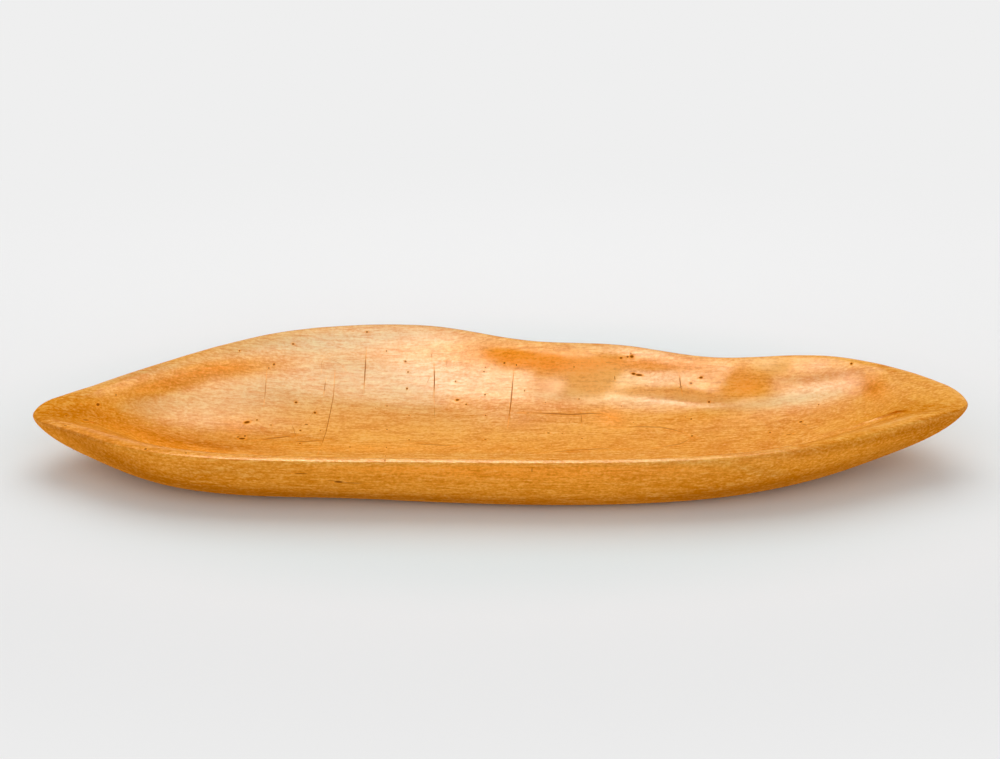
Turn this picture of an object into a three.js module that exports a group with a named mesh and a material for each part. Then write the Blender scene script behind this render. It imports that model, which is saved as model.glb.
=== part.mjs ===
// A long free-form wooden dish, carved from one piece of wood. In plan it is a leaf with two rounded
// points: the front edge is nearly straight, the back edge swings out in a belly, draws in at a waist
// and swings out again. The tips are lifted, the hollow follows the edges, and the foot is flat.
// Millimetres, +Z up. X runs along the length, and the straight edge faces -Y.

import * as THREE from 'three';

// Overall sizes
const LENGTH = 600;
const TIP_ROUNDING = 9;

// The edges, as the outermost line seen from above. Each point is [share of the half length,
// reach from the line that joins the tips].
const FRONT_REACH = 64;
const BELLY_REACH = 102;
const SHOULDER_REACH = 80;
const WAIST_REACH = 65;
const LOBE_REACH = 67;
const FRONT_EDGE = [
  [-1, 8], [-0.91, 22.5], [-0.8, 41.5], [-0.7, 52.5], [-0.54, 60], [-0.2, FRONT_REACH],
  [0.3, FRONT_REACH + 1], [0.5, 60], [0.65, 50.5], [0.8, 33], [0.92, 17], [1, 8],
];
const BACK_EDGE = [
  [-1, 12], [-0.93, 25], [-0.83, 43.5], [-0.66, 73], [-0.49, 94.5], [-0.28, BELLY_REACH],
  [-0.13, 98.5], [0.05, SHOULDER_REACH + 1], [0.2, SHOULDER_REACH], [0.3, 77.5], [0.4, 69.5],
  [0.52, WAIST_REACH], [0.66, LOBE_REACH], [0.83, 52.5], [0.94, 30], [1, 13],
];

// Height of the rim above the foot
const LEFT_TIP_HEIGHT = 40;
const RIGHT_TIP_HEIGHT = 48;
const FRONT_HEIGHT = 42;
const BELLY_HEIGHT = 50;
const WAIST_HEIGHT = 45;
const FRONT_RIM = [
  [-1, LEFT_TIP_HEIGHT], [-0.6, 41], [0, FRONT_HEIGHT], [0.5, 43], [1, RIGHT_TIP_HEIGHT],
];
const BACK_RIM = [
  [-1, LEFT_TIP_HEIGHT], [-0.28, BELLY_HEIGHT], [0.2, 48], [0.52, WAIST_HEIGHT], [0.68, 46.5],
  [1, RIGHT_TIP_HEIGHT],
];

// The lip: its width across the top, and the radius of its two arrises
const LIP_AT_TIPS = 12;
const LIP_FRONT = 5;
const LIP_BACK = 6;
const LIP_RADIUS = 2.2;
const LIP_CROWN = 0.4;
const FRONT_LIP = [
  [-1, LIP_AT_TIPS], [-0.85, 10.5], [-0.6, 8.5], [-0.3, 6.5], [0.15, LIP_FRONT], [0.5, 6.5],
  [0.8, 9], [1, LIP_AT_TIPS],
];
const BACK_LIP = [
  [-1, LIP_AT_TIPS], [-0.7, 8], [-0.3, LIP_BACK], [0.3, LIP_BACK], [0.8, 8], [1, LIP_AT_TIPS],
];

// The foot: a flat leaf shorter than the dish, with [share of its half length, reach]
const FOOT_LENGTH = 372;
const FOOT_CENTRE = -14;
const FOOT_ROUNDING = 40;
const FOOT_FRONT = [[-1, 17], [-0.75, 22], [-0.4, 32], [0.1, 42], [0.5, 42], [0.8, 34], [1, 22]];
const FOOT_BACK = [[-1, 20], [-0.7, 48], [-0.35, 70], [0.1, 58], [0.5, 44], [0.8, 38], [1, 22]];

// How full the underside is between foot and edge: 2 is an ellipse, less is flatter
const FULLNESS = [[-1, 1.6], [-0.8, 2.4], [-0.4, 2.2], [0, 2.3], [0.6, 2.1], [0.85, 1.9], [1, 1.6]];

// The hollow: its lowest line runs from end to end, and the walls come down to it
const HOLLOW_LEFT = -262;
const HOLLOW_RIGHT = 254;
const HOLLOW_DRIFT = 8;
const FLOOR_THICKNESS = 9.5;
const HOLLOW_LINE = [
  [-1, 33.5], [-0.92, 26], [-0.8, 17], [-0.6, 11], [-0.3, FLOOR_THICKNESS], [0.3, FLOOR_THICKNESS],
  [0.55, 12], [0.7, 16], [0.82, 23], [0.92, 32], [1, 41.5],
];

// A wall leaves the lip as a gentle brow, then falls to its toe, and the floor slopes on from there.
// A brow is [share, distance in from the edge, drop below the rim], and a toe is [share, distance in
// from the edge, rise above the hollow line, softness of its bend].
const FRONT_BROW = [
  [-1, 18, 1.5], [-0.8, 17, 3], [-0.5, 12, 3], [0, 8, 2], [0.5, 10, 2], [0.8, 16, 2.5], [1, 20, 1],
];
const FRONT_TOE = [
  [-1, 34, 0.5, 6], [-0.8, 32, 3, 6], [-0.5, 24, 4, 6], [0, 20, 4, 6], [0.5, 22, 4, 6], [0.8, 34, 3, 9],
  [1, 40, 0.5, 6],
];
const BACK_BROW = [
  [-1, 18, 1.5], [-0.85, 13, 1.5], [-0.65, 15, 2.5], [-0.48, 15, 3], [-0.28, 10, 2.5], [-0.1, 11, 3],
  [0.1, 13, 3.5], [0.4, 12, 3], [0.6, 11, 3], [0.8, 13, 2.5], [1, 20, 1],
];
const BACK_TOE = [
  [-1, 34, 0.5, 6], [-0.85, 21, 10, 4], [-0.65, 25, 19.5, 4], [-0.48, 35, 16, 7], [-0.28, 46, 7, 9],
  [-0.12, 41, 7, 11], [0.02, 33, 7.5, 12], [0.15, 26, 8, 10], [0.28, 21, 7.5, 7], [0.4, 19, 7, 5],
  [0.6, 27, 9.5, 6], [0.8, 22, 13, 5], [1, 40, 0.5, 6],
];
const BROW_SOFTNESS = 5;
const TOE_LIMIT = 0.85;
const FLOOR_FLAT = 14;
const FLOOR_SOFTNESS = 8;

// Facets
const STATIONS = 64;
const HULL_STEPS = 8;
const WALL_STEPS = 9;
const FLOOR_STEPS = 4;

// Smooth curve through [place, value] points, straight at both ends
function curveThrough(points) {
  const last = points.length - 1;
  const place = points.map((point) => point[0]);
  const value = points.map((point) => point[1]);
  const ratio = new Array(last + 1).fill(0);
  const bend = new Array(last + 1).fill(0);
  for (let i = 1; i < last; i++) {
    const before = place[i] - place[i - 1];
    const after = place[i + 1] - place[i];
    const turn = (value[i + 1] - value[i]) / after - (value[i] - value[i - 1]) / before;
    const pivot = 2 * (before + after) - before * ratio[i - 1];
    ratio[i] = after / pivot;
    bend[i] = (6 * turn - before * bend[i - 1]) / pivot;
  }
  for (let i = last - 1; i > 0; i--) {
    bend[i] -= ratio[i] * bend[i + 1];
  }
  return (at) => {
    let i = 0;
    while (i < last - 1 && at > place[i + 1]) {
      i++;
    }
    const gap = place[i + 1] - place[i];
    const a = (place[i + 1] - at) / gap;
    const b = 1 - a;
    const curve = ((a ** 3 - a) * bend[i] + (b ** 3 - b) * bend[i + 1]) * gap * gap / 6;
    return a * value[i] + b * value[i + 1] + curve;
  };
}

// One smooth curve for each value that follows the place in the points
function curvesThrough(points) {
  const values = points[0].slice(1);
  const curves = values.map((_, column) => {
    return curveThrough(points.map((point) => [point[0], point[column + 1]]));
  });
  return (at) => curves.map((curve) => curve(at));
}

// A reach that closes in a round end over the last stretch before each tip
function roundedReach(points, halfLength, rounding) {
  const reach = curveThrough(points);
  return (share) => {
    const fromTip = (1 - Math.abs(share)) * halfLength;
    const open = Math.max(0, 1 - fromTip / rounding);
    return reach(share) * Math.sqrt(1 - open * open);
  };
}

const halfLength = LENGTH / 2;
const fullness = curveThrough(FULLNESS);
const hollowLine = curveThrough(HOLLOW_LINE);
const front = {
  side: -1,
  edge: roundedReach(FRONT_EDGE, halfLength, TIP_ROUNDING),
  rim: curveThrough(FRONT_RIM),
  lip: curveThrough(FRONT_LIP),
  foot: roundedReach(FOOT_FRONT, FOOT_LENGTH / 2, FOOT_ROUNDING),
  brow: curvesThrough(FRONT_BROW),
  toe: curvesThrough(FRONT_TOE),
};
const back = {
  side: 1,
  edge: roundedReach(BACK_EDGE, halfLength, TIP_ROUNDING),
  rim: curveThrough(BACK_RIM),
  lip: curveThrough(BACK_LIP),
  foot: roundedReach(FOOT_BACK, FOOT_LENGTH / 2, FOOT_ROUNDING),
  brow: curvesThrough(BACK_BROW),
  toe: curvesThrough(BACK_TOE),
};

// The underside at one station, from the foot's edge up to the side of the lip
function underside(flank, share) {
  const foot = new THREE.Vector2(FOOT_CENTRE + share * FOOT_LENGTH / 2, flank.side * flank.foot(share));
  const edge = new THREE.Vector2(share * halfLength, flank.side * flank.edge(share));
  const top = flank.rim(share) - LIP_RADIUS;
  const power = 2 / fullness(share);
  const points = [];
  for (let step = 0; step <= HULL_STEPS; step++) {
    const angle = step / HULL_STEPS * Math.PI / 2;
    const plan = foot.clone().lerp(edge, Math.sin(angle) ** power);
    points.push([plan.x, plan.y, step === 0 ? 0 : top * (1 - Math.cos(angle) ** power)]);
  }
  return points;
}

// Rises from nothing to a steady climb, with a soft bend at zero
function softRamp(distance, softness) {
  return (distance + Math.hypot(distance, softness)) / 2;
}

// Straight falls with soft bends: lip to brow, brow to toe, toe to the level strip along the middle
function wallSection(flank, share, lip, span) {
  const floor = hollowLine(share);
  const [browInward, browDrop] = flank.brow(share);
  const [toeInward, toeRise, toeSoftness] = flank.toe(share);
  const toe = Math.min(toeInward, TOE_LIMIT * span);
  const brow = Math.min(browInward, (lip.inward + toe) / 2);
  const browHeight = lip.height - browDrop;
  const toeHeight = floor + toeRise;
  const upper = (browHeight - lip.height) / (brow - lip.inward);
  const middle = (toeHeight - browHeight) / (toe - brow);
  const level = span - Math.min(FLOOR_FLAT, (span - toe) / 2);
  const lower = (floor - toeHeight) / (level - toe);
  const bent = (inward) => upper * (inward - lip.inward)
    + (middle - upper) * softRamp(inward - brow, BROW_SOFTNESS)
    + (lower - middle) * softRamp(inward - toe, toeSoftness)
    - lower * softRamp(inward - level, FLOOR_SOFTNESS);
  const atLip = lip.height - bent(lip.inward);
  const atFloor = floor - bent(span);
  const height = (inward) => {
    const along = (inward - lip.inward) / (span - lip.inward);
    return bent(inward) + atLip * (1 - along) + atFloor * along;
  };
  return { start: lip.inward, end: Math.min(toe + toeSoftness, (toe + span) / 2), height };
}

// The lip and the hollow at one station, from the lip's outer arris to the hollow's lowest line
function topside(flank, share) {
  const edge = new THREE.Vector2(share * halfLength, flank.side * flank.edge(share));
  const middle = (HOLLOW_LEFT + HOLLOW_RIGHT) / 2;
  const reach = (HOLLOW_RIGHT - HOLLOW_LEFT) / 2;
  const centre = new THREE.Vector2(middle + share * reach, HOLLOW_DRIFT * (1 - share * share));
  const span = edge.distanceTo(centre);
  const rim = flank.rim(share);
  const lip = flank.lip(share);
  const points = [];
  const add = (inward, height) => {
    const plan = edge.clone().lerp(centre, inward / span);
    points.push([plan.x, plan.y, height]);
  };

  const eighth = LIP_RADIUS * (1 - Math.SQRT1_2);
  add(eighth, rim - eighth);
  add(LIP_RADIUS, rim);
  add(lip / 2, rim + LIP_CROWN);
  add(lip - LIP_RADIUS, rim);
  add(lip - eighth, rim - eighth);

  const section = wallSection(flank, share, { inward: lip - eighth, height: rim - eighth }, span);
  for (let step = 1; step <= WALL_STEPS; step++) {
    const inward = section.start + (section.end - section.start) * step / WALL_STEPS;
    add(inward, section.height(inward));
  }
  for (let step = 1; step <= FLOOR_STEPS; step++) {
    const inward = section.end + (span - section.end) * step / FLOOR_STEPS;
    add(inward, section.height(inward));
  }
  return points;
}

// Stations crowd together towards the tips. One lap runs along the front and returns along the back.
function profiles() {
  const lap = [];
  for (let i = 0; i < 2 * STATIONS; i++) {
    const share = -Math.cos(Math.PI * i / STATIONS);
    const flank = i <= STATIONS ? front : back;
    lap.push([...underside(flank, share), ...topside(flank, share)]);
  }
  return lap;
}

function carvedBody() {
  const lap = profiles();
  const rows = lap[0].length;
  const count = lap.length;
  const index = (row, i) => {
    const place = i % count;
    const onHollowLine = row === rows - 1 && place > STATIONS;
    return row * count + (onHollowLine ? count - place : place);
  };
  const faces = [];
  for (let row = 0; row < rows - 1; row++) {
    for (let i = 0; i < count; i++) {
      const a = index(row, i);
      const b = index(row, i + 1);
      const c = index(row + 1, i + 1);
      const d = index(row + 1, i);
      faces.push(a, b, c, a, c, d);
    }
  }
  for (let i = 0; i < STATIONS; i++) {
    const a = index(0, i);
    const b = index(0, i + 1);
    const c = index(0, count - i - 1);
    const d = index(0, (count - i) % count);
    faces.push(a, c, b);
    if (d !== a) {
      faces.push(a, d, c);
    }
  }
  const places = [];
  for (let row = 0; row < rows; row++) {
    lap.forEach((profile) => places.push(...profile[row]));
  }
  const geometry = new THREE.BufferGeometry();
  geometry.setAttribute('position', new THREE.Float32BufferAttribute(places, 3));
  geometry.setIndex(faces);
  geometry.computeBoundingBox();
  const middle = geometry.boundingBox.getCenter(new THREE.Vector3());
  geometry.translate(-middle.x, -middle.y, 0);
  geometry.computeVertexNormals();
  return geometry;
}

const wood = new THREE.MeshStandardMaterial({ color: 0xd9903f, roughness: 0.4, metalness: 0 });
const bowl = new THREE.Mesh(carvedBody(), wood);
bowl.name = 'bowl';

const dish = new THREE.Group();
dish.add(bowl);

export default dish;
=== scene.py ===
"""A long free-form wooden dish, carved from one piece: its looks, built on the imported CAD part.

The carved body is a refined copy of the CAD body, with the shallow forms and waves that the tools
left in it. Cuts, nicks and patches are painted on its vertices, and the wood is one node material
on object coordinates that reads them.
"""

import math

import bpy
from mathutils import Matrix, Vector
from mathutils.bvhtree import BVHTree
from mathutils.kdtree import KDTree


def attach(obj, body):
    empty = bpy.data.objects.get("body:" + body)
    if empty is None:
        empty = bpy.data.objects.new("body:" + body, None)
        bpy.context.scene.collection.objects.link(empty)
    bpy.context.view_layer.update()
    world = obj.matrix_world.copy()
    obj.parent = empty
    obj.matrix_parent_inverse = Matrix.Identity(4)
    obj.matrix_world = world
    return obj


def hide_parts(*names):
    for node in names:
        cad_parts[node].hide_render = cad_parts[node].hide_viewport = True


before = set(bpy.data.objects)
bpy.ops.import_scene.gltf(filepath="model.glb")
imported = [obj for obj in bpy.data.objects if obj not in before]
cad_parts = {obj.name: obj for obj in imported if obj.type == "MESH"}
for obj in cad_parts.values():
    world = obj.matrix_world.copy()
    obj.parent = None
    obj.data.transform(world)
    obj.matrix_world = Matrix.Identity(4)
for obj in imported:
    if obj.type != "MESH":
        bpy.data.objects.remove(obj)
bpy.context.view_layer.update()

bl_info = {
    "name": "Carved dish",
    "version": (1, 0, 0),
    "blender": (4, 5, 0),
    "location": "View3D > Sidebar > Dish",
    "description": "Builds a free-form carved wooden dish and its studio",
    "category": "Object",
}

MM = 0.001

# The picture, in pixels, and the camera's aim in metres
IMAGE_WIDTH = 1000
IMAGE_HEIGHT = 759
CAMERA_TARGET = Vector((0.0, -0.01875, 0.043))
TARGET_ROW = 409
SENSOR_WIDTH = 36.0

# The places and sizes of the lamps, in metres. The soft lamp lights the dish, and the other two
# show only in its lacquer.
SOFT_LAMP_PLACE = (0, 0.7, 1.6)
SOFT_LAMP_SIZE = (1.6, 1.45)
SHEEN_LAMP_PLACE = (-0.25, -0.25, 1.6)
SHEEN_LAMP_SIZE = (1.4, 1.5)
NEAR_SHEEN_PLACE = (-0.4, -0.65, 1.6)
NEAR_SHEEN_SIZE = (1.1, 0.8)
SHEEN_COLOUR = (0.93, 1.0, 0.97)

# The floor carries a painted shadow beside the dish, darker and cooler than the rest, up to the
# first distance in metres, and turns into the plain backdrop between the other two. Along the dish
# a distance counts for less.
FLOOR_SIZE = 24.0
PAINTED_SHADOW_REACH = 0.12
BACKDROP_START = 0.2
BACKDROP_FULL = 0.45
BACKDROP_SQUEEZE = 0.5

# How the CAD body's loose triangles are joined: in metres and in degrees
MERGE_DISTANCE = 0.00001
QUAD_ANGLE = 60

# How nearly a vertex has to face the same way as a form, patch or mark to belong to it
FORM_FACING = 0.5
PATCH_FACING = 0.2
MARK_FACING = 0.3

# The half width of the line that a form is pressed from, in metres, and the square of the distance
# at which a patch has faded out, in its own half sizes
FORM_CORE = 0.003
PATCH_END = 6

# A share begins at one of these values of the normal's part and is full this span further on
SHARE_SPAN = 0.4
HOLLOW_START = -0.2
END_GRAIN_START = 0.16
# The far lip's painted shade begins at this part of the normal
FAR_LIP_SHADE_START = 0.2

# Marks that share a layer lie this many rooms apart, and a mark is laid out to this many rooms.
# A vertex with no mark is this many half sizes away from one.
MARK_SPACING = 3
MARK_SPREAD = 2
NO_MARK = 9.0

# Where a mark's colour begins to fade and is gone, and the same for the lacquer that is lost
# around it, in half widths from its middle
MARK_FADE = (0.55, 1.05)
BARE_FADE = (0.9, 2.0)

# The rings in the wood, in metres: their heart is beside and below the dish and rises along it
HEART_SIDE = 0.005
HEART_DEPTH = 0.095
HEART_RISE = 0.11
RING_SHIFT = 0.015
RING_WIDTH = 0.0062
LATE_WOOD_START = 0.55
LATE_WOOD_END = 0.97

# Patterns in the wood: how often each repeats in a metre along, across and up, its detail, its
# roughness, its distortion and its weight
RING_DRIFT = ((6, 25, 25), 3.0, 0.5, 0.0, 0.03)
FIBRES = ((54, 540, 540), 3.0, 0.6, 0.0, 1.45)
FINE_FIBRES = ((190, 900, 900), 2.0, 0.6, 0.0, 1.3)
SPECKLE = ((480, 720, 720), 2.0, 0.6, 0.0, 1.6)
CLOUDS = ((9, 28, 28), 2.0, 0.5, 0.0, 0.9)
RIPPLE = ((45, 160, 160), 3.0, 0.6, 0.6, 0.9)
PORES = ((500, 2200, 2200), 1.0, 0.5, 0.0, 1.0)
RAISED_GRAIN = ((45, 750, 750), 3.0, 0.6, 0.0, 0.2)
RAISED_FIBRES = ((160, 1300, 1300), 2.0, 0.6, 0.0, 0.2)
STIPPLE = ((600, 600, 600), 2.0, 0.6, 0.0, 0.8)
PORE_EDGE = (0.18, 0.26)

# How much end grain takes from the fibres, and the pale, painted-sheen patches from the speckle
# and from all the grain
END_GRAIN_LOSS = 0.7
PALE_AND_SHEEN_SPECKLE_LOSS = 0.1875
PALE_AND_SHEEN_GRAIN_LOSS = 0.4

# How red the outer wall is, and a patch of tone -1
OUTSIDE_REDNESS = 0.45
TONE_REDNESS = 1.6

# How deep the amber is: everywhere, and what each cause adds, the painted shade among them
DEPTH = 0.3
REDNESS_DEPTH = -0.35
SHADED_DEPTH = 0.4
OUTSIDE_DEPTH = 0.15
LATE_WOOD_DEPTH = 0.15

# The shares of the other colours: the light flecks, the dark ones and what the pale, painted-sheen
# patches and the painted light add to them, a patch of painted shade or painted light, the pores,
# and the bare wood around a mark
LIGHT_FLECKS = 0.35
DARK_FLECKS = 0.14
PALE_AND_LIGHT_FLECKS = 0.3
SHADED_SHARE = 0.2
PAINTED_LIGHT_SHARE = 0.3
PORE_SHARE = 0.4
BARE_SHARE = 0.5

# The relief of the surface: its strength, its height in metres, and the depth of a mark in it
RELIEF_STRENGTH = 0.7
RELIEF_HEIGHT = 0.0003
MARK_DEPTH = 1.3

# How much lacquer there is at full gloss, and how much the dark flecks take from it
FULL_GLOSS = 0.8
FLECK_GLOSS_LOSS = 0.45

# Forms that the gouge left in the hollow. Each is the middle of the form in the picture, half its
# length and its reach in millimetres, its turn from the long axis in degrees and its depth in
# millimetres, where a minus is a swelling.
CARVED_FORMS = [
    # The reddish band on the far wall
    ((528, 370.5), 20, 15, -13, 2.2),
    # The top and the foot of the terrace behind the shoulder
    ((667, 366), 31, 14, -6, 1.7),
    ((670, 392), 32, 12, -5, -1.6),
    # The top and the foot of the bright patch to the right of it
    ((808, 366), 12, 11, 0, 0.9),
    ((806, 388), 14, 11, 0, -0.9),
    # The crescent before the right tip
    ((868, 386), 7, 12, 50, 0.8),
]

# Knife cuts across the hollow and dark grain lines along it: the picture points along each, its
# width in millimetres and how dark it is
KNIFE_CUTS = [
    ([(366, 356), (365.4, 366), (364.2, 385)], 0.59, 0.92),
    ([(434, 368), (434.4, 380), (434, 393)], 0.6, 0.97),
    ([(434.3, 403), (434.6, 412), (435, 421)], 0.39, 0.65),
    ([(431.2, 352.5), (431.4, 358)], 0.46, 0.76),
    ([(447, 359), (446.6, 368)], 0.39, 0.65),
    ([(430.4, 376), (426.4, 384)], 0.39, 0.6),
    ([(266.4, 376), (265.4, 390), (264.2, 402)], 0.51, 0.76),
    ([(325.8, 380), (324.6, 388), (324, 393)], 0.46, 0.76),
    ([(334.5, 379), (333.4, 396), (330.4, 412), (326, 432), (319, 451)], 0.54, 0.76),
    ([(291, 422), (294, 430), (296.4, 438)], 0.39, 0.6),
    ([(323.5, 358.5), (321.6, 363), (321.4, 370)], 0.39, 0.6),
    ([(325, 359), (333, 360), (341, 364), (345, 369)], 0.39, 0.49),
    ([(513.6, 374), (512.4, 385), (511.2, 399), (508.6, 421)], 0.6, 0.87),
    ([(581.4, 413.5), (581.6, 424)], 0.46, 0.76),
    ([(679.4, 376), (680.4, 384), (681.8, 391.5)], 0.59, 0.97),
    ([(678, 388.6), (683.4, 385.4)], 0.46, 0.65),
    ([(614.6, 375.5), (615, 380.5)], 0.54, 0.92),
    ([(633, 403.5), (633, 411.5)], 0.36, 0.44),
    ([(785, 435.2), (789, 434.4), (793, 433.6)], 0.71, 0.97),
    ([(523, 412.8), (545, 413.2), (570, 414.5), (599, 413), (612, 417)], 1.5, 0.6),
    ([(618, 427.5), (640, 426.7), (661, 427.2), (675, 430), (692, 436)], 1.7, 0.4),
    ([(692, 437.6), (680, 444), (658, 447.5)], 1.8, 0.35),
    ([(543, 453), (570, 450.4), (600, 448.8), (623, 449)], 2.2, 0.35),
    ([(258, 440), (275, 438), (296, 435.4)], 1.8, 0.5),
    ([(290, 442), (310, 441.2), (325, 440)], 1.6, 0.45),
    ([(411, 443.4), (433, 444.8), (455, 446)], 2.0, 0.35),
    ([(246, 422), (242, 427), (238, 432)], 0.39, 0.44),
    ([(560.6, 404), (560.8, 409), (560.6, 414)], 0.3, 0.38),
    ([(318, 406), (313, 413), (308, 420)], 0.39, 0.38),
]

# Gouges, nicks and dark spots: middle in the picture, half its length and half its width in
# millimetres, its turn in degrees and how dark it is
NICKS = [
    ((247, 422.3), 2.2, 1.1, 22, 1),
    ((242, 438.6), 2.4, 1.1, 5, 1),
    ((238, 437), 1.2, 0.91, 40, 0.65),
    ((245, 436), 0.96, 0.91, 0, 0.78),
    ((257, 420), 0.73, 0.65, 0, 1),
    ((633.5, 373.8), 1.5, 0.82, -8, 1),
    ((639, 375), 2.5, 0.76, -8, 1),
    ((631.8, 356.6), 1.4, 1, 0, 1),
    ((627.6, 356.8), 0.84, 0.78, 0, 0.91),
    ((621, 358), 1.1, 0.78, 0, 0.91),
    ((630.8, 353.4), 0.52, 0.65, 0, 0.78),
    ((701, 377.6), 1.2, 0.78, 0, 1),
    ((691, 383.4), 0.96, 0.78, 0, 0.78),
    ((800.8, 421.8), 1.3, 0.91, 10, 0.91),
    ((851.4, 363.6), 0.84, 0.91, 0, 1),
    ((66.4, 415.8), 0.96, 0.78, 0, 0.78),
    ((86, 420), 2.5, 1.4, 15, 0.52),
    ((98, 404.6), 1.4, 1.2, 60, 0.91),
    ((116, 395), 0.73, 1.3, 0, 0.52),
    ((65.5, 425.6), 1.5, 0.45, -20, 0.78),
    ((145.6, 449), 1.1, 0.91, 20, 0.78),
    ((186, 453), 0.84, 0.65, 0, 0.78),
    ((385.5, 456), 0.52, 0.78, 0, 0.91),
    ((239.5, 350.8), 0.63, 0.78, 0, 1),
    ((293.2, 344), 0.96, 0.78, 0, 0.91),
    ((367, 332), 0.96, 0.65, 0, 0.91),
    ((296, 402.4), 1.1, 0.91, 20, 1),
    ((315, 412.6), 0.96, 1, 0, 1),
    ((306.4, 424.4), 1.4, 0.54, 0, 0.91),
    ((300.4, 430.4), 0.84, 0.78, 0, 1),
    ((320.4, 430.4), 0.63, 0.65, 0, 0.78),
    ((300, 443.4), 0.84, 0.78, 0, 0.78),
    ((274, 364.4), 0.96, 0.78, 30, 0.91),
    ((268.8, 368), 0.73, 0.65, 0, 0.78),
    ((271, 425), 0.84, 0.65, 0, 0.65),
    ((350, 447), 0.63, 0.65, 0, 1),
    ((369, 447), 0.52, 0.51, 0, 0.65),
    ((386.4, 447.4), 0.63, 0.65, 0, 1),
    ((409, 440), 0.73, 0.65, 0, 1),
    ((387, 406), 0.73, 0.65, 0, 0.78),
    ((387, 429.6), 0.84, 0.51, 0, 0.78),
    ((409, 415.4), 0.73, 0.51, 0, 0.78),
    ((407, 388.6), 0.63, 0.78, 0, 1),
    ((408, 372), 0.63, 0.65, 0, 0.91),
    ((405.5, 361.4), 0.73, 0.65, 0, 0.91),
    ((386.5, 351), 0.63, 0.51, 0, 0.91),
    ((485.4, 367.4), 0.52, 0.51, 0, 0.91),
    ((484, 371.6), 0.52, 0.65, 0, 1),
    ((481, 377), 0.52, 0.51, 0, 0.52),
    ((485, 394.6), 0.63, 0.65, 0, 1),
    ((457.4, 400), 1.3, 0.78, 0, 1),
    ((466.2, 404.4), 0.73, 0.65, 0, 1),
    ((485.6, 415.4), 0.63, 0.65, 0, 1),
    ((485.4, 439.6), 0.96, 0.51, 0, 1),
    ((455.6, 381.4), 0.52, 0.65, 0, 1),
    ((504.4, 363), 0.84, 0.65, 30, 1),
    ((516.4, 365), 0.52, 0.65, 0, 1),
    ((524.5, 390.6), 0.42, 0.78, 0, 0.91),
    ((574, 367), 0.52, 0.51, 0, 0.91),
    ((579, 399), 0.63, 0.51, 0, 0.91),
    ((551.6, 445), 0.52, 0.51, 0, 0.91),
    ((582, 438.6), 0.63, 0.65, 0, 0.91),
    ((548.5, 433), 1.2, 0.65, 0, 0.78),
    ((526, 438), 0.42, 0.91, 0, 0.52),
    ((512.4, 453), 0.52, 0.51, 0, 0.91),
    ((709, 402), 0.84, 0.78, 0, 1),
    ((691.2, 419), 0.73, 0.78, 0, 1),
    ((685.4, 417), 0.52, 0.65, 0, 0.65),
    ((692, 436), 0.96, 0.78, 0, 1),
    ((770, 432.4), 0.96, 0.65, 0, 1),
    ((818.6, 404.6), 0.63, 0.65, 0, 0.91),
    ((375.4, 408), 0.57, 0.54, 0, 0.6),
    ((545.4, 402.6), 0.57, 0.54, 0, 0.8),
    ((553.6, 349.2), 0.47, 0.54, 0, 0.5),
    ((562.4, 433.6), 0.66, 0.54, 0, 0.6),
    ((569.4, 422), 0.57, 0.54, 0, 0.5),
    ((528, 413), 1.5, 0.37, 0, 0.6),
    ((621.6, 406), 0.47, 0.54, 0, 0.8),
    ((633.4, 422.6), 0.47, 0.54, 0, 0.6),
    ((804, 424.5), 3, 0.54, -35, 0.5),
    ((385, 460.6), 0.47, 1.1, 0, 0.7),
    ((338.5, 482), 3.1, 0.76, 0, 1),
    ((352, 483), 9.4, 0.38, 0, 0.78),
    ((336, 481), 7.3, 0.32, 6, 0.65),
    ((301, 473.6), 5.2, 0.38, 6, 0.78),
    ((532, 470), 0.84, 2.1, 0, 0.39),
]

# Patches of paler or redder wood, partly painted light: many pale ones in the hollow paint the
# lamp's sheen, and some redder ones paint light on the outer wall. Each gives its middle in the
# picture, half its length and half its width in millimetres, its turn in degrees and its tone,
# where a minus is redder
TONE_AND_PAINTED_LIGHT_PATCHES = [
    ((385, 355), 80, 30, -4, 0.72),
    ((425, 391), 68, 21, -6, 0.42),
    ((250, 392), 60, 24, 18, 0.6),
    ((150, 405), 30, 12, 20, 0.4),
    ((640, 351), 60, 5, -6, 0.6),
    ((530, 357), 36, 7, -14, -0.4),
    ((120, 437), 60, 14, -15, -0.5),
    ((502, 353), 22, 5, -12, -0.25),
    ((340, 342), 90, 10, 8, 0.6),
    ((655, 401), 42, 5, -3, 0.6),
    ((770, 401), 50, 6, 4, 0.4),
    ((660, 377), 26, 6, -4, 0.6),
    ((815, 385), 30, 12, 0, 0.4),
    ((750, 386), 14, 9, 0, -0.4),
    ((871, 386), 8, 12, 40, -0.7),
    ((160, 386), 32, 6, 25, -0.5),
    ((225, 368), 38, 6, 9, -0.7),
    ((160, 440), 60, 12, -10, -0.7),
    ((240, 428), 12, 8, 0, -0.5),
    ((610, 418), 9, 8, 0, -0.5),
    ((457, 403), 8, 5, 0, -0.3),
    # The next two paint light on the upper outer wall below the front lip
    ((470, 468), 170, 5, 0, -0.4),
    ((540, 476), 110, 8, 0, -0.3),
    # A painted highlight along the front lip
    ((520, 461), 170, 2, 0, 0.5),
    ((692, 397), 38, 6, -4, -0.2),
    ((150, 372), 40, 4, 22, 0.4),
    ((165, 366), 30, 4, 20, 0.35),
    ((80, 397), 22, 5, 22, 0.35),
    ((555, 396), 20, 5, -6, 0.3),
    ((490, 455), 110, 4, 0, 0.2),
    ((598, 385), 24, 8, -8, -0.12),
    ((95, 450), 50, 14, 14, -0.25),
    ((675, 363), 30, 5, -6, -0.25),
    ((775, 404), 35, 5, 4, 0.25),
    ((762, 369), 18, 8, -4, 0.25),
    ((815, 399), 40, 7, 6, 0.1),
    ((480, 396), 20, 8, 0, -0.25),
    ((330, 449), 110, 7, 0, -0.25),
    ((462, 358), 24, 5, -2, -0.15),
]
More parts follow.
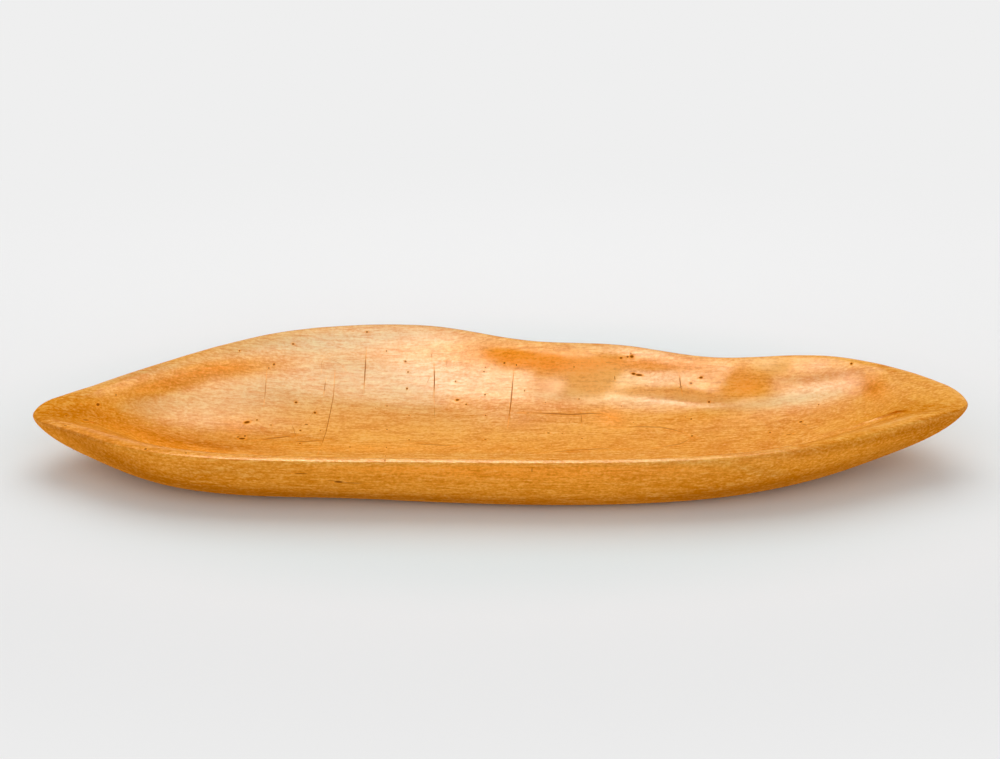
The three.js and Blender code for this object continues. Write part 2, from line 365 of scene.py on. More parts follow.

# Patches of painted shade, in the same terms, where a minus is painted light: shade on the tips,
# the lip edges and the outer wall towards the floor, and light on steep walls that miss the lamp
SHADED_PATCHES = [
    ((110, 459), 50, 12, 12, 0.95),
    ((945, 422), 38, 14, -25, 0.8),
    ((200, 487), 60, 8, 0, 0.4),
    ((480, 500), 190, 6, 0, 0.8),
    ((865, 460), 60, 9, 12, 0.6),
    ((890, 436), 60, 2.5, 13, 0.6),
    ((150, 438), 60, 12, -10, 0.6),
    ((255, 440), 45, 9, 0, 0.4),
    ((822, 377), 42, 2.5, 2, 0.6),
    ((805, 394), 34, 6, 6, -0.15),
    ((871, 387), 6, 10, 40, 0.9),
    ((60, 415), 25, 9, 22, 1.0),
    ((930, 408), 32, 10, -22, 0.8),
    ((230, 447), 75, 5, -4, 0.5),
    ((100, 436), 45, 9, -20, 0.5),
    ((830, 447), 50, 5, 10, 0.5),
    ((300, 487), 110, 8, 0, 0.35),
    ((750, 489), 60, 9, 4, 0.9),
    ((320, 496), 110, 7, 0, 0.5),
    ((400, 498), 120, 5, 0, 0.35),
    ((725, 492), 40, 7, 3, 0.4),
    ((680, 396), 26, 5, -4, -0.45),
    ((758, 372), 16, 8, -5, -0.4),
    ((190, 441), 50, 9, -5, 0.5),
    ((320, 476), 110, 6, 0, 0.3),
    ((702, 476), 50, 8, 4, 0.35),
    ((125, 462), 50, 12, 14, 0.2),
    ((242, 428), 12, 8, 0, 0.5),
    ((790, 401), 45, 6, 5, -0.35),
    ((778, 367), 14, 7, -10, -0.7),
    ((205, 374), 60, 7, 18, 0.4),
    ((520, 414), 22, 7, 0, 0.3),
    ((606, 376), 26, 13, -8, -0.9),
    ((590, 392), 26, 7, -6, -0.4),
    ((120, 437), 60, 12, -15, 0.3),
    ((300, 448), 110, 8, 0, 0.2),
]

# Patches where the lacquer is worn thin, in the same terms, where a minus is thicker lacquer
WORN_PATCHES = [
    ((532, 356), 40, 7, -14, 0.8),
    ((500, 352), 20, 5, -12, 0.4),
    ((110, 430), 70, 15, -15, 0.9),
    ((130, 450), 50, 7, -14, 0.7),
    ((175, 446), 70, 5, -8, 0.6),
    ((60, 413), 28, 10, 22, 1.0),
    ((758, 388), 14, 6, 0, 0.5),
    ((845, 440), 55, 8, 11, 0.8),
    ((508, 408), 42, 9, 0, 0.5),
    ((735, 410), 45, 8, 4, 0.35),
    ((160, 386), 32, 6, 25, 0.5),
    ((225, 368), 40, 7, 9, 0.9),
    ((150, 436), 60, 12, -10, 0.6),
    ((255, 440), 45, 9, 0, 0.4),
    ((872, 386), 8, 12, 40, 0.7),
    ((891, 416), 22, 4, -20, 0.4),
    ((925, 409), 42, 13, -18, 1.0),
    ((815, 377), 42, 6, 2, 0.6),
    ((722, 381), 19, 9, -5, 0.35),
    ((680, 364), 30, 5, -6, 0.5),
    ((622, 386), 14, 6, -10, 0.3),
    ((765, 396), 20, 5, 4, 0.5),
    ((350, 364), 26, 8, 5, 0.3),
    ((262, 411), 28, 8, 0, 0.5),
    ((385, 360), 85, 24, -4, 0.12),
    ((668, 378), 40, 9, -5, 0.15),
    ((700, 414), 34, 7, 0, 0.7),
    ((300, 449), 90, 8, 0, 0.5),
    ((235, 394), 50, 18, 15, -0.6),
    ((745, 455), 70, 5, 7, -0.8),
]


def picture_ray(column, row, camera):
    """The camera's place and the direction in which it sees a pixel."""
    spread = SENSOR_WIDTH / camera.lens / IMAGE_WIDTH
    right = Vector((1, 0, 0))
    ahead = Vector((0, math.cos(camera.elevation), -math.sin(camera.elevation)))
    up = right.cross(ahead)
    place = CAMERA_TARGET - ahead * camera.distance
    across = (column - IMAGE_WIDTH / 2) * spread
    above = (TARGET_ROW - row) * spread
    return place, (ahead + right * across + up * above).normalized()


class Surface:
    """A body as the camera sees it, asked for the place behind a pixel."""

    def __init__(self, body, camera):
        self.tree = BVHTree.FromObject(body, bpy.context.evaluated_depsgraph_get())
        self.camera = camera

    def at(self, pixel):
        """Place and normal where the pixel's ray meets the body. A ray that misses is an error."""
        place, direction = picture_ray(*pixel, self.camera)
        hit, normal, _, _ = self.tree.ray_cast(place, direction)
        if hit is None:
            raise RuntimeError(f"the pixel {pixel} doesn't lie on the dish")
        return hit, normal


class DishCameraSettings(bpy.types.PropertyGroup):
    """Where the dish is seen from."""

    elevation: bpy.props.FloatProperty(
        name="Elevation", description="Height of the view above the horizon",
        default=math.radians(30), subtype="ANGLE",
    )
    distance: bpy.props.FloatProperty(
        name="Distance", description="From the camera to the dish",
        default=1.997, subtype="DISTANCE",
    )
    lens: bpy.props.FloatProperty(
        name="Lens", description="Focal length in millimetres",
        default=112.32, min=10.0, unit="CAMERA",
    )


class DishBodySettings(bpy.types.PropertyGroup):
    """How the carved body is refined."""

    levels: bpy.props.IntProperty(
        name="Rounds", description="Rounds of smoothing before and after the carving",
        default=1, min=0, max=2,
    )
    wave_depth: bpy.props.FloatProperty(
        name="Tool waves", description="Depth of the gentle unevenness of handwork",
        default=0.0006, subtype="DISTANCE",
    )
    wave_size: bpy.props.FloatProperty(
        name="Wave size", description="Size of one wave", default=0.03, subtype="DISTANCE"
    )
    mark_reach: bpy.props.FloatProperty(
        name="Mark reach", description="Room around a mark that is kept for it alone",
        default=0.006, subtype="DISTANCE",
    )


class DishWoodSettings(bpy.types.PropertyGroup):
    """Colours and finish of the wood."""

    amber: bpy.props.FloatVectorProperty(
        name="Amber", description="The wood's main colour", subtype="COLOR", size=3,
        default=(0.87, 0.39, 0.05), min=0.0, max=1.0,
    )
    deep: bpy.props.FloatVectorProperty(
        name="Deep amber", description="Colour of late wood and shaded bands",
        subtype="COLOR", size=3, default=(0.67, 0.2, 0.0), min=0.0, max=1.0,
    )
    # The pale colour also paints the lamp's sheen where the pale patches stand for it
    pale_and_sheen: bpy.props.FloatVectorProperty(
        name="Pale wood", description="Colour of the paler wood on the belly",
        subtype="COLOR", size=3, default=(0.6, 0.43, 0.19), min=0.0, max=1.0,
    )
    ember: bpy.props.FloatVectorProperty(
        name="Ember", description="Colour of the redder bands", subtype="COLOR", size=3,
        default=(1.0, 0.35, 0.03), min=0.0, max=1.0,
    )
    # Cream also paints light where a shaded patch is below 0
    cream: bpy.props.FloatVectorProperty(
        name="Cream", description="Colour of the light flecks", subtype="COLOR", size=3,
        default=(1.0, 0.71, 0.28), min=0.0, max=1.0,
    )
    # The mark colour also paints the shade of the shaded patches and the far lip
    mark: bpy.props.FloatVectorProperty(
        name="Marks", description="Colour of cuts, nicks and dark flecks",
        subtype="COLOR", size=3, default=(0.25, 0.06, 0.0), min=0.0, max=1.0,
    )
    inside_gloss: bpy.props.FloatProperty(
        name="Gloss inside", description="Weight of the lacquer in the hollow",
        default=1.0, min=0.0, max=1.0, subtype="FACTOR",
    )
    outside_gloss: bpy.props.FloatProperty(
        name="Gloss outside", description="Weight of the lacquer on the outer wall",
        default=0.04, min=0.0, max=1.0, subtype="FACTOR",
    )
    wood_roughness: bpy.props.FloatProperty(
        name="Wood roughness", description="Roughness of the wood under the lacquer",
        default=0.4, min=0.0, max=1.0, subtype="FACTOR",
    )
    lacquer_roughness: bpy.props.FloatProperty(
        name="Lacquer roughness", description="How soft the reflections in the lacquer are",
        default=0.27, min=0.0, max=1.0, subtype="FACTOR",
    )
    lacquer_index: bpy.props.FloatProperty(
        name="Lacquer index", description="Refraction index of the lacquer", default=1.3, min=1.0
    )


class DishStageSettings(bpy.types.PropertyGroup):
    """Floor and light."""

    floor_colour: bpy.props.FloatVectorProperty(
        name="Floor", description="Colour of the floor", subtype="COLOR", size=3,
        default=(0.86, 0.86, 0.86), min=0.0, max=1.0,
    )
    # A painted shadow: the floor's colour beside the dish, darker and cooler than the rest
    painted_shadow_floor: bpy.props.FloatVectorProperty(
        name="Near floor", description="Colour of the floor beside the dish",
        subtype="COLOR", size=3, default=(0.757, 0.81, 0.812), min=0.0, max=1.0,
    )
    sky: bpy.props.FloatProperty(
        name="Room light", description="Even light from all around", default=0.65, min=0.0
    )
    front_share: bpy.props.FloatProperty(
        name="Front light", description="Share that the room gains in front and loses behind",
        default=0.5, min=0.0, max=1.0, subtype="FACTOR",
    )
    lamp: bpy.props.FloatProperty(
        name="Lamp", description="Brightness of the soft lamp overhead", default=1.95, min=0.0
    )
    sheen_lamp: bpy.props.FloatProperty(
        name="Sheen lamp", description="Brightness of the lamp that the lacquer mirrors",
        default=11.0, min=0.0,
    )
    near_sheen: bpy.props.FloatProperty(
        name="Near sheen", description="Brightness of the mirrored lamp nearer the viewer",
        default=17.0, min=0.0,
    )
    backdrop: bpy.props.FloatProperty(
        name="Backdrop", description="Brightness of the backdrop above the floor",
        default=0.863, min=0.0,
    )


class Number:
    """A number that varies over the surface. Arithmetic on it adds Math nodes."""

    def __init__(self, finish, socket):
        self.finish = finish
        self.socket = socket

    def math(self, operation, *values, clamp=False):
        settings = {"operation": operation, "use_clamp": clamp}
        node = self.finish.add("ShaderNodeMath", settings, dict(enumerate(values)))
        return Number(self.finish, node.outputs[0])

    def __add__(self, other):
        return self.math("ADD", self, other)

    __radd__ = __add__

    def __sub__(self, other):
        return self.math("SUBTRACT", self, other)

    def __rsub__(self, other):
        return self.math("SUBTRACT", other, self)

    def __mul__(self, other):
        return self.math("MULTIPLY", self, other)

    __rmul__ = __mul__

    def __truediv__(self, other):
        return self.math("DIVIDE", self, other)

    def root(self):
        return self.math("SQRT", self)

    def clamped(self):
        """The number kept between 0 and 1."""
        return self.math("ADD", self, 0.0, clamp=True)

    def fraction(self):
        return self.math("FRACT", self)

    def highest(self, other):
        return self.math("MAXIMUM", self, other)

    def between(self, low, high, start=0.0, end=1.0):
        """Goes smoothly from start at low to end at high."""
        node = self.finish.add(
            "ShaderNodeMapRange",
            {"interpolation_type": "SMOOTHSTEP"},
            {0: self, 1: low, 2: high, 3: start, 4: end},
        )
        return Number(self.finish, node.outputs[0])


class Finish:
    """The nodes of a material or of the world, in the making."""

    def __init__(self, owner):
        owner.use_nodes = True
        self.owner = owner
        self.tree = owner.node_tree
        self.tree.nodes.clear()

    def add(self, kind, settings, sockets):
        """A node of this type, its settings made first, then its sockets' values or links."""
        node = self.tree.nodes.new(kind)
        for key, value in settings.items():
            setattr(node, key, value)
        for key, value in sockets.items():
            socket = node.inputs[key]
            source = value.socket if isinstance(value, Number) else value
            if isinstance(source, bpy.types.NodeSocket):
                self.tree.links.new(source, socket)
            else:
                socket.default_value = source
        return node

    def place(self, output="Object"):
        """The place on the object, or in the world's Generated the direction."""
        return self.add("ShaderNodeTexCoord", {}, {}).outputs[output]

    def pattern(self, place, scale, detail, roughness, distortion, weight):
        """Noise around 0 that is drawn out along the dish."""
        mapped = self.add("ShaderNodeMapping", {}, {"Vector": place, "Scale": scale})
        sockets = {
            "Vector": mapped.outputs[0], "Scale": 1.0, "Detail": detail, "Roughness": roughness,
            "Distortion": distortion,
        }
        noise = Number(self, self.add("ShaderNodeTexNoise", {}, sockets).outputs["Fac"])
        return weight * (noise - 0.5)

    def attribute(self, name, output="Fac"):
        """What is painted on the vertices under this name."""
        node = self.add("ShaderNodeAttribute", {"attribute_name": name}, {})
        return Number(self, node.outputs[output])

    def parts(self, vector):
        node = self.add("ShaderNodeSeparateXYZ", {}, {"Vector": vector})
        return [Number(self, socket) for socket in node.outputs]

    def seen(self):
        """1 where the camera looks, also in a mirror or through glass, and 0 for other light."""
        paths = self.add("ShaderNodeLightPath", {}, {})
        seen = Number(self, paths.outputs["Is Camera Ray"])
        for name in ("Is Glossy Ray", "Is Transmission Ray"):
            seen = seen.highest(Number(self, paths.outputs[name]))
        return seen

    def blend(self, factor, first, second):
        """A colour between two others."""
        sockets = {0: factor, 6: first, 7: second}
        return self.add("ShaderNodeMix", {"data_type": "RGBA"}, sockets).outputs[2]

    def mix(self, factor, first, second):
        """A shader between two others."""
        sockets = {0: factor, 1: first.outputs[0], 2: second.outputs[0]}
        return self.add("ShaderNodeMixShader", {}, sockets)

    def close(self, shader, output="ShaderNodeOutputMaterial"):
        self.add(output, {}, {"Surface": shader.outputs[0]})
        return self.owner


def opaque(colour):
    return (*colour, 1.0)


def marks_mask(finish, layers):
    """How much of the surface the marks cover, and how much of its lacquer they took."""
    colour = lost = 0.0
    for layer in range(layers):
        along, across, strength = finish.parts(finish.attribute(f"marks_{layer}", "Vector"))
        reach = (along * along + across * across).root()
        colour = (reach.between(*MARK_FADE, 1.0, 0.0) * strength).highest(colour)
        lost = (reach.between(*BARE_FADE, 1.0, 0.0) * strength).highest(lost)
    return colour, lost


def late_wood(finish, place):
    """1 in the dark late wood of each ring, 0 in its early wood."""
    x, y, z = finish.parts(place)
    side = y + HEART_SIDE
    above = z + HEART_DEPTH + HEART_RISE * x
    drift = finish.pattern(place, *RING_DRIFT) + RING_SHIFT
    ring_place = (((side * side + above * above).root() + drift) / RING_WIDTH).fraction()
    start = ring_place.between(LATE_WOOD_START, LATE_WOOD_END)
    return start - ring_place.between(LATE_WOOD_END, 1.0)


def fine_streaks(finish, place, paleness_and_sheen):
    """The flecks along the grain: above 0 where they are dark, below 0 where they are light."""
    fibres = finish.pattern(place, *FIBRES) + finish.pattern(place, *FINE_FIBRES)
    fibres = fibres * (1 - END_GRAIN_LOSS * finish.attribute("end_grain"))
    return fibres + (1 - PALE_AND_SHEEN_SPECKLE_LOSS * paleness_and_sheen) * finish.pattern(place, *SPECKLE)


def wood_colour(finish, settings, place, streaks, paleness_and_sheen, marks, bare):
    """The wood's colours with their painted light and shade, laid over each other from the main
    one to the marks.
    """
    shaded = finish.attribute("shaded")
    outside = 1 - finish.attribute("inside")
    painted_light = (-1 * shaded).clamped()
    redness = (OUTSIDE_REDNESS * outside - TONE_REDNESS * finish.attribute("tone")).clamped()
    broad = finish.pattern(place, *CLOUDS) + finish.pattern(place, *RIPPLE)
    grain = streaks + broad + LATE_WOOD_DEPTH * late_wood(finish, place)
    depth = DEPTH + REDNESS_DEPTH * redness + grain * (1 - PALE_AND_SHEEN_GRAIN_LOSS * paleness_and_sheen)
    depth = (depth + SHADED_DEPTH * shaded + OUTSIDE_DEPTH * outside).clamped()
    dark_flecks = (DARK_FLECKS + PALE_AND_LIGHT_FLECKS * (paleness_and_sheen + painted_light)) * streaks
    pores = finish.pattern(place, *PORES).between(*PORE_EDGE)
    coats = (
        (paleness_and_sheen, settings.pale_and_sheen),
        (redness, settings.ember),
        (depth, settings.deep),
        ((-LIGHT_FLECKS * streaks).clamped(), settings.cream),
        (dark_flecks.clamped(), settings.mark),
        # Painted shade in the mark colour, then painted light in cream
        ((SHADED_SHARE * shaded).clamped(), settings.mark),
        (PAINTED_LIGHT_SHARE * painted_light, settings.cream),
        (PORE_SHARE * pores, settings.deep),
        (BARE_SHARE * bare, settings.ember),
        (marks, settings.mark),
    )
    colour = opaque(settings.amber)
    for share, coat in coats:
        colour = finish.blend(share, colour, opaque(coat))
    return colour


def wood_relief(finish, place, marks):
    """The raised grain and the stipple, with the marks sunk into them."""
    height = -MARK_DEPTH * marks
    for raised in (RAISED_GRAIN, RAISED_FIBRES, STIPPLE):
        height = height + finish.pattern(place, *raised)
    sockets = {"Strength": RELIEF_STRENGTH, "Distance": RELIEF_HEIGHT, "Height": height}
    return finish.add("ShaderNodeBump", {}, sockets).outputs[0]


def lacquer_share(finish, settings, streaks, bare):
    """How much lacquer is left: most in the hollow, least where it is worn or cut."""
    gain = settings.inside_gloss - settings.outside_gloss
    laid = settings.outside_gloss + gain * finish.attribute("inside")
    left = (1 - bare) * (1 - finish.attribute("worn")) * (1 - FLECK_GLOSS_LOSS * streaks)
    return (laid * left * FULL_GLOSS).clamped()


def lacquered_wood(settings, layers):
    """Amber wood with its grain along the dish, under a thin worn lacquer."""
    finish = Finish(bpy.data.materials.new("lacquered_wood"))
    place = finish.place()
    paleness_and_sheen = finish.attribute("tone").clamped()
    marks, bare = marks_mask(finish, layers)
    streaks = fine_streaks(finish, place, paleness_and_sheen)
    shader = finish.add(
        "ShaderNodeBsdfPrincipled",
        {},
        {
            "Base Color": wood_colour(finish, settings, place, streaks, paleness_and_sheen, marks, bare),
            "Roughness": settings.wood_roughness,
            "Specular IOR Level": 0.0,
            "Coat Weight": lacquer_share(finish, settings, streaks, bare),
            "Coat Roughness": settings.lacquer_roughness,
            "Coat IOR": settings.lacquer_index,
            "Normal": wood_relief(finish, place, marks),
        },
    )
    return finish.close(shader)


def select_only(piece):
    bpy.ops.object.select_all(action="DESELECT")
    piece.select_set(True)
    bpy.context.view_layer.objects.active = piece


def merged_copy(node, name):
    """A copy of a CAD node, with its loose triangles joined to quads."""
    piece = bpy.data.objects.new(name, node.data.copy())
    bpy.context.scene.collection.objects.link(piece)
    select_only(piece)
    bpy.ops.object.mode_set(mode="EDIT")
    bpy.ops.mesh.select_all(action="SELECT")
    bpy.ops.mesh.customdata_custom_splitnormals_clear()
    bpy.ops.mesh.remove_doubles(threshold=MERGE_DISTANCE)
    angle = math.radians(QUAD_ANGLE)
    bpy.ops.mesh.tris_convert_to_quads(face_threshold=angle, shape_threshold=angle)
    bpy.ops.mesh.select_all(action="DESELECT")
    bpy.ops.object.mode_set(mode="OBJECT")
    return piece


def smooth_once(piece, levels):
    """One applied Subdivision Surface."""
    modifier = piece.modifiers.new("rounding", "SUBSURF")
    modifier.levels = levels
    modifier.render_levels = levels
    select_only(piece)
    bpy.ops.object.modifier_apply(modifier=modifier.name)


def along_and_side(normal, turn):
    """The direction at this turn from the long axis, seen from above, laid on the surface, and
    the one across it."""
    angle = math.radians(turn)
    along = Vector((math.cos(angle), math.sin(angle), 0))
    along = (along - normal * along.dot(normal)).normalized()
    return along, normal.cross(along)


def press_form(piece, surface, pixel, half_length, reach, turn, depth):
    """Presses a shallow form into the hollow, as a gouge or a thumb would leave it."""
    middle, normal = surface.at(pixel)
    along, _ = along_and_side(normal, turn)
    step = half_length * MM
    for vertex in piece.data.vertices:
        offset = vertex.co - middle
        travel = max(-step, min(step, offset.dot(along)))
        near = (offset - along * travel).length < FORM_CORE
        vertex.select = near and vertex.normal.dot(normal) > FORM_FACING
    bpy.ops.object.mode_set(mode="EDIT")
    bpy.ops.transform.translate(
        value=-normal * depth * MM,
        use_proportional_edit=True,
        use_proportional_connected=True,
        proportional_edit_falloff="SMOOTH",
        proportional_size=reach * MM,
    )
    bpy.ops.mesh.select_all(action="DESELECT")
    bpy.ops.object.mode_set(mode="OBJECT")


def lay_tool_waves(piece, settings):
    """The gentle unevenness of handwork, in the hollow and on the lip."""
    inside = piece.vertex_groups.new(name="inside")
    for index, share in enumerate(hollow_share(piece)):
        inside.add([index], share, "REPLACE")
    waves = bpy.data.textures.new("tool_waves", "CLOUDS")
    waves.noise_scale = settings.wave_size
    modifier = piece.modifiers.new("handwork", "DISPLACE")
    modifier.texture = waves
    modifier.texture_coords = "LOCAL"
    modifier.strength = settings.wave_depth
    modifier.vertex_group = "inside"
    select_only(piece)
    bpy.ops.object.modifier_apply(modifier=modifier.name)
    piece.vertex_groups.clear()


def paint(piece, name, values):
    attribute = piece.data.attributes.new(name, "FLOAT", "POINT")
    attribute.data.foreach_set("value", values)


def share_from(start, value):
    """0 up to the start, then growing evenly to 1 over the span."""
    return max(0.0, min(1.0, (value - start) / SHARE_SPAN))


def hollow_share(piece):
    """1 in the hollow and on the lip, 0 on the outer wall and the foot."""
    return [share_from(HOLLOW_START, vertex.normal.z) for vertex in piece.data.vertices]


def end_grain_share(piece):
    """1 where the fibres come out through the surface, 0 where they run along it."""
    return [share_from(END_GRAIN_START, abs(vertex.normal.x)) for vertex in piece.data.vertices]


def far_lip_painted_shade(piece):
    """Painted shade: 1 on the far side of the lip, which is darkened, and 0 elsewhere."""
    shares = []
    for vertex in piece.data.vertices:
        facing = share_from(FAR_LIP_SHADE_START, vertex.normal.y)
        shares.append(facing if vertex.normal.z > 0 else 0.0)
    return shares


def patchwork(piece, surface, patches):
    """The soft patches of a list, added up to one number for each vertex."""
    total = [0.0] * len(piece.data.vertices)
    for pixel, half_length, half_width, turn, strength in patches:
        middle, normal = surface.at(pixel)
        along, side = along_and_side(normal, turn)
        for vertex in piece.data.vertices:
            if vertex.normal.dot(normal) < PATCH_FACING:
                continue
            offset = (vertex.co - middle) / MM
            away = (offset.dot(along) / half_length) ** 2 + (offset.dot(side) / half_width) ** 2
            if away < PATCH_END:
                total[vertex.index] += strength * math.exp(-away)
    return total


class Mark:
    """A cut, nick or grain line: a line on the surface with a width and a darkness."""

    def __init__(self, points, normal, half_width, darkness):
        self.points = points
        self.normal = normal
        self.half_width = half_width
        self.darkness = darkness
        steps = zip(points, points[1:])
        self.length = sum((after - before).length for before, after in steps)
        self.centre = sum(points, Vector()) / len(points)
        self.radius = max((point - self.centre).length for point in points)

    def clear_of(self, other, room):
        """Whether the two marks can share a layer."""
        gap = (self.centre - other.centre).length - self.radius - other.radius
        return gap > MARK_SPACING * room

    def nearest(self, place):
        """Distance from a place, its travel along the line and its signed distance across."""
        best = None
        travelled = 0.0
        last = len(self.points) - 2
        for i, (before, after) in enumerate(zip(self.points, self.points[1:])):
            step = after - before
            length = step.length
            along = step / length
            side = self.normal.cross(along)
            offset = place - before
            low = -math.inf if i == 0 else 0.0
            high = math.inf if i == last else length
            travel = max(low, min(high, offset.dot(along)))
            held = max(0.0, min(length, travel))
            gap = (offset - along * held).length
            if best is None or gap < best[0]:
                best = (gap, travelled + travel, offset.dot(side))
            travelled += length
        return best


def gather_marks(surface):
    marks = []
    for pixels, width, darkness in KNIFE_CUTS:
        hits = [surface.at(pixel) for pixel in pixels]
        normal = sum((hit[1] for hit in hits), Vector()).normalized()
        marks.append(Mark([hit[0] for hit in hits], normal, width * MM / 2, darkness))
    for pixel, half_length, half_width, turn, darkness in NICKS:
        middle, normal = surface.at(pixel)
        along, _ = along_and_side(normal, turn)
        reach = along * half_length * MM
        marks.append(Mark([middle - reach, middle + reach], normal, half_width * MM, darkness))
    return marks


def sort_in_layers(marks, room):
    """The marks in layers, with those that are close together on different ones."""
    layers = []
    for mark in marks:
        for layer in layers:
            if all(mark.clear_of(other, room) for other in layer):
                layer.append(mark)
                break
        else:
            layers.append([mark])
    return layers


def lay_marks(piece, surface, room):
    """Gives each vertex near a mark its place along and across it, and the mark's darkness.
    Returns the number of layers."""
    vertices = piece.data.vertices
    tree = KDTree(len(vertices))
    for vertex in vertices:
        tree.insert(vertex.co, vertex.index)
    tree.balance()
    layers = sort_in_layers(gather_marks(surface), room)
    for number, layer in enumerate(layers):
        values = [NO_MARK, NO_MARK, 0.0] * len(vertices)
        for mark in layer:
            half = mark.length / 2
            for place, index, _ in tree.find_range(mark.centre, mark.radius + MARK_SPREAD * room):
                gap, travel, across = mark.nearest(place)
                held = gap < room and vertices[index].normal.dot(mark.normal) > MARK_FACING
                values[3 * index] = (travel - half) / half
                values[3 * index + 1] = across / mark.half_width
                values[3 * index + 2] = mark.darkness if held else 0.0
        attribute = piece.data.attributes.new(f"marks_{number}", "FLOAT_VECTOR", "POINT")
        attribute.data.foreach_set("vector", values)
    return len(layers)


class DISH_OT_carve(bpy.types.Operator):
    """Builds the carved body with its forms, tool waves, marks and wood"""

    bl_idname = "dish.carve"
    bl_label = "Carve the dish"

    def execute(self, context):
        settings = context.scene.dish_body
        camera = context.scene.dish_camera
        dish = merged_copy(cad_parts["bowl"], "carved_dish")
        smooth_once(dish, settings.levels)
        surface = Surface(dish, camera)
        for form in CARVED_FORMS:
            press_form(dish, surface, *form)
        smooth_once(dish, settings.levels)
        lay_tool_waves(dish, settings)

        surface = Surface(dish, camera)
        paint(dish, "inside", hollow_share(dish))
        paint(dish, "end_grain", end_grain_share(dish))
        # Tone, partly painted sheen and highlights; painted shade and light, with the far lip's
        # shade
        paint(dish, "tone", patchwork(dish, surface, TONE_AND_PAINTED_LIGHT_PATCHES))
        shades = zip(patchwork(dish, surface, SHADED_PATCHES), far_lip_painted_shade(dish))
        paint(dish, "shaded", [patch + edge for patch, edge in shades])
        paint(dish, "worn", patchwork(dish, surface, WORN_PATCHES))
        layers = lay_marks(dish, surface, settings.mark_reach)
        bpy.ops.object.shade_smooth()
        dish.data.materials.clear()
        dish.data.materials.append(lacquered_wood(context.scene.dish_wood, layers))
        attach(dish, "root")
        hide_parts("bowl")
        return {"FINISHED"}


def plain_floor(settings):
    """A matt floor with a painted shadow beside the dish, which goes over into the backdrop away
    from it.
    """
    finish = Finish(bpy.data.materials.new("plain_floor"))
    x, y, _ = finish.parts(finish.place())
    x = x * BACKDROP_SQUEEZE
    distance = (x * x + y * y).root()
    # The painted shadow beside the dish fades into the plain floor
    near, plain = opaque(settings.painted_shadow_floor), opaque(settings.floor_colour)
    colour = finish.blend(distance.between(PAINTED_SHADOW_REACH, BACKDROP_START), near, plain)
    sockets = {"Base Color": colour, "Roughness": 1.0, "Specular IOR Level": 0.0}
    floor = finish.add("ShaderNodeBsdfPrincipled", {}, sockets)
    backdrop = finish.add("ShaderNodeEmission", {}, {"Color": opaque((settings.backdrop,) * 3)})
    far = distance.between(BACKDROP_START, BACKDROP_FULL)
    return finish.close(finish.mix(far * finish.seen(), floor, backdrop))


def room_light(settings):
    """Light from all around, stronger in front, and the backdrop where it is seen or mirrored."""
    finish = Finish(bpy.data.worlds.new("studio"))
    _, behind, _ = finish.parts(finish.place("Generated"))
    halves = []
    for share in (1 + settings.front_share, 1 - settings.front_share):
        sockets = {"Color": opaque((1, 1, 1)), "Strength": settings.sky * share}
        halves.append(finish.add("ShaderNodeBackground", {}, sockets))
    light = finish.mix((behind + 1) / 2, *halves)
    backdrop = finish.add("ShaderNodeBackground", {}, {"Color": opaque((settings.backdrop,) * 3)})
    return finish.close(finish.mix(finish.seen(), light, backdrop), "ShaderNodeOutputWorld")


def hang_lamp(name, place, size, brightness):
    """A soft rectangular lamp that faces the dish, with the brightness of its face."""
    turn = Vector(place).to_track_quat("Z", "Y").to_euler()
    bpy.ops.object.light_add(type="AREA", location=place, rotation=turn)
    lamp = bpy.context.object
    lamp.name = name
    lamp.data.shape = "RECTANGLE"
    lamp.data.size, lamp.data.size_y = size
    lamp.data.energy = brightness * math.pi * size[0] * size[1]
    return lamp


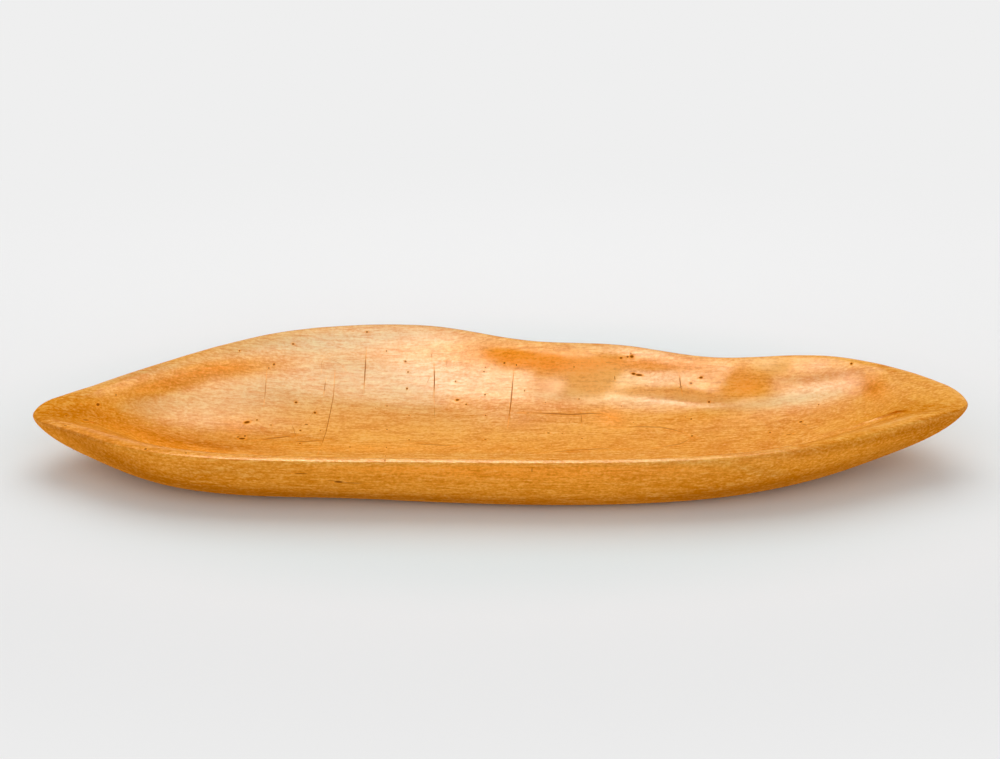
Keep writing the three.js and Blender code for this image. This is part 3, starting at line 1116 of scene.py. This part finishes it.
class DISH_OT_stage(bpy.types.Operator):
    """Lays the floor, hangs the lamps and sets up the camera"""

    bl_idname = "dish.stage"
    bl_label = "Set the stage"

    def execute(self, context):
        scene = context.scene
        settings = scene.dish_stage
        bpy.ops.object.select_all(action="DESELECT")
        bpy.ops.mesh.primitive_plane_add(size=FLOOR_SIZE, location=(0, 0, 0))
        floor = context.object
        floor.name = "floor"
        floor.data.materials.append(plain_floor(settings))
        scene.world = room_light(settings)

        soft_lamp = hang_lamp("soft_lamp", SOFT_LAMP_PLACE, SOFT_LAMP_SIZE, settings.lamp)
        soft_lamp.visible_glossy = False
        for name, place, size, brightness in (
            ("sheen_lamp", SHEEN_LAMP_PLACE, SHEEN_LAMP_SIZE, settings.sheen_lamp),
            ("near_sheen", NEAR_SHEEN_PLACE, NEAR_SHEEN_SIZE, settings.near_sheen),
        ):
            mirrored = hang_lamp(name, place, size, brightness)
            mirrored.visible_diffuse = False
            mirrored.data.color = SHEEN_COLOUR

        view = scene.dish_camera
        place, _ = picture_ray(IMAGE_WIDTH / 2, TARGET_ROW, view)
        tilt = math.radians(90) - view.elevation
        bpy.ops.object.camera_add(location=place, rotation=(tilt, 0, 0))
        camera = context.object
        camera.data.sensor_width = SENSOR_WIDTH
        camera.data.lens = view.lens
        camera.data.shift_y = (TARGET_ROW - IMAGE_HEIGHT / 2) / IMAGE_WIDTH
        scene.camera = camera
        scene.view_settings.view_transform = "Standard"
        return {"FINISHED"}


class DISH_PT_panel(bpy.types.Panel):
    """The dish's settings and the two steps that build it."""

    bl_label = "Carved dish"
    bl_space_type = "VIEW_3D"
    bl_region_type = "UI"
    bl_category = "Dish"

    def draw(self, context):
        scene = context.scene
        for name in SETTINGS:
            group = getattr(scene, name)
            box = self.layout.box()
            for key in group.__annotations__:
                box.prop(group, key)
        for operator in (DISH_OT_carve, DISH_OT_stage):
            self.layout.operator(operator.bl_idname)


SETTINGS = {
    "dish_camera": DishCameraSettings,
    "dish_body": DishBodySettings,
    "dish_wood": DishWoodSettings,
    "dish_stage": DishStageSettings,
}
CLASSES = [*SETTINGS.values(), DISH_OT_carve, DISH_OT_stage, DISH_PT_panel]


def register():
    for item in CLASSES:
        bpy.utils.register_class(item)
    for name, group in SETTINGS.items():
        setattr(bpy.types.Scene, name, bpy.props.PointerProperty(type=group))


def unregister():
    for name in SETTINGS:
        delattr(bpy.types.Scene, name)
    for item in reversed(CLASSES):
        bpy.utils.unregister_class(item)


def main():
    register()
    bpy.ops.dish.carve()
    bpy.ops.dish.stage()


if __name__ == "__main__":
    main()
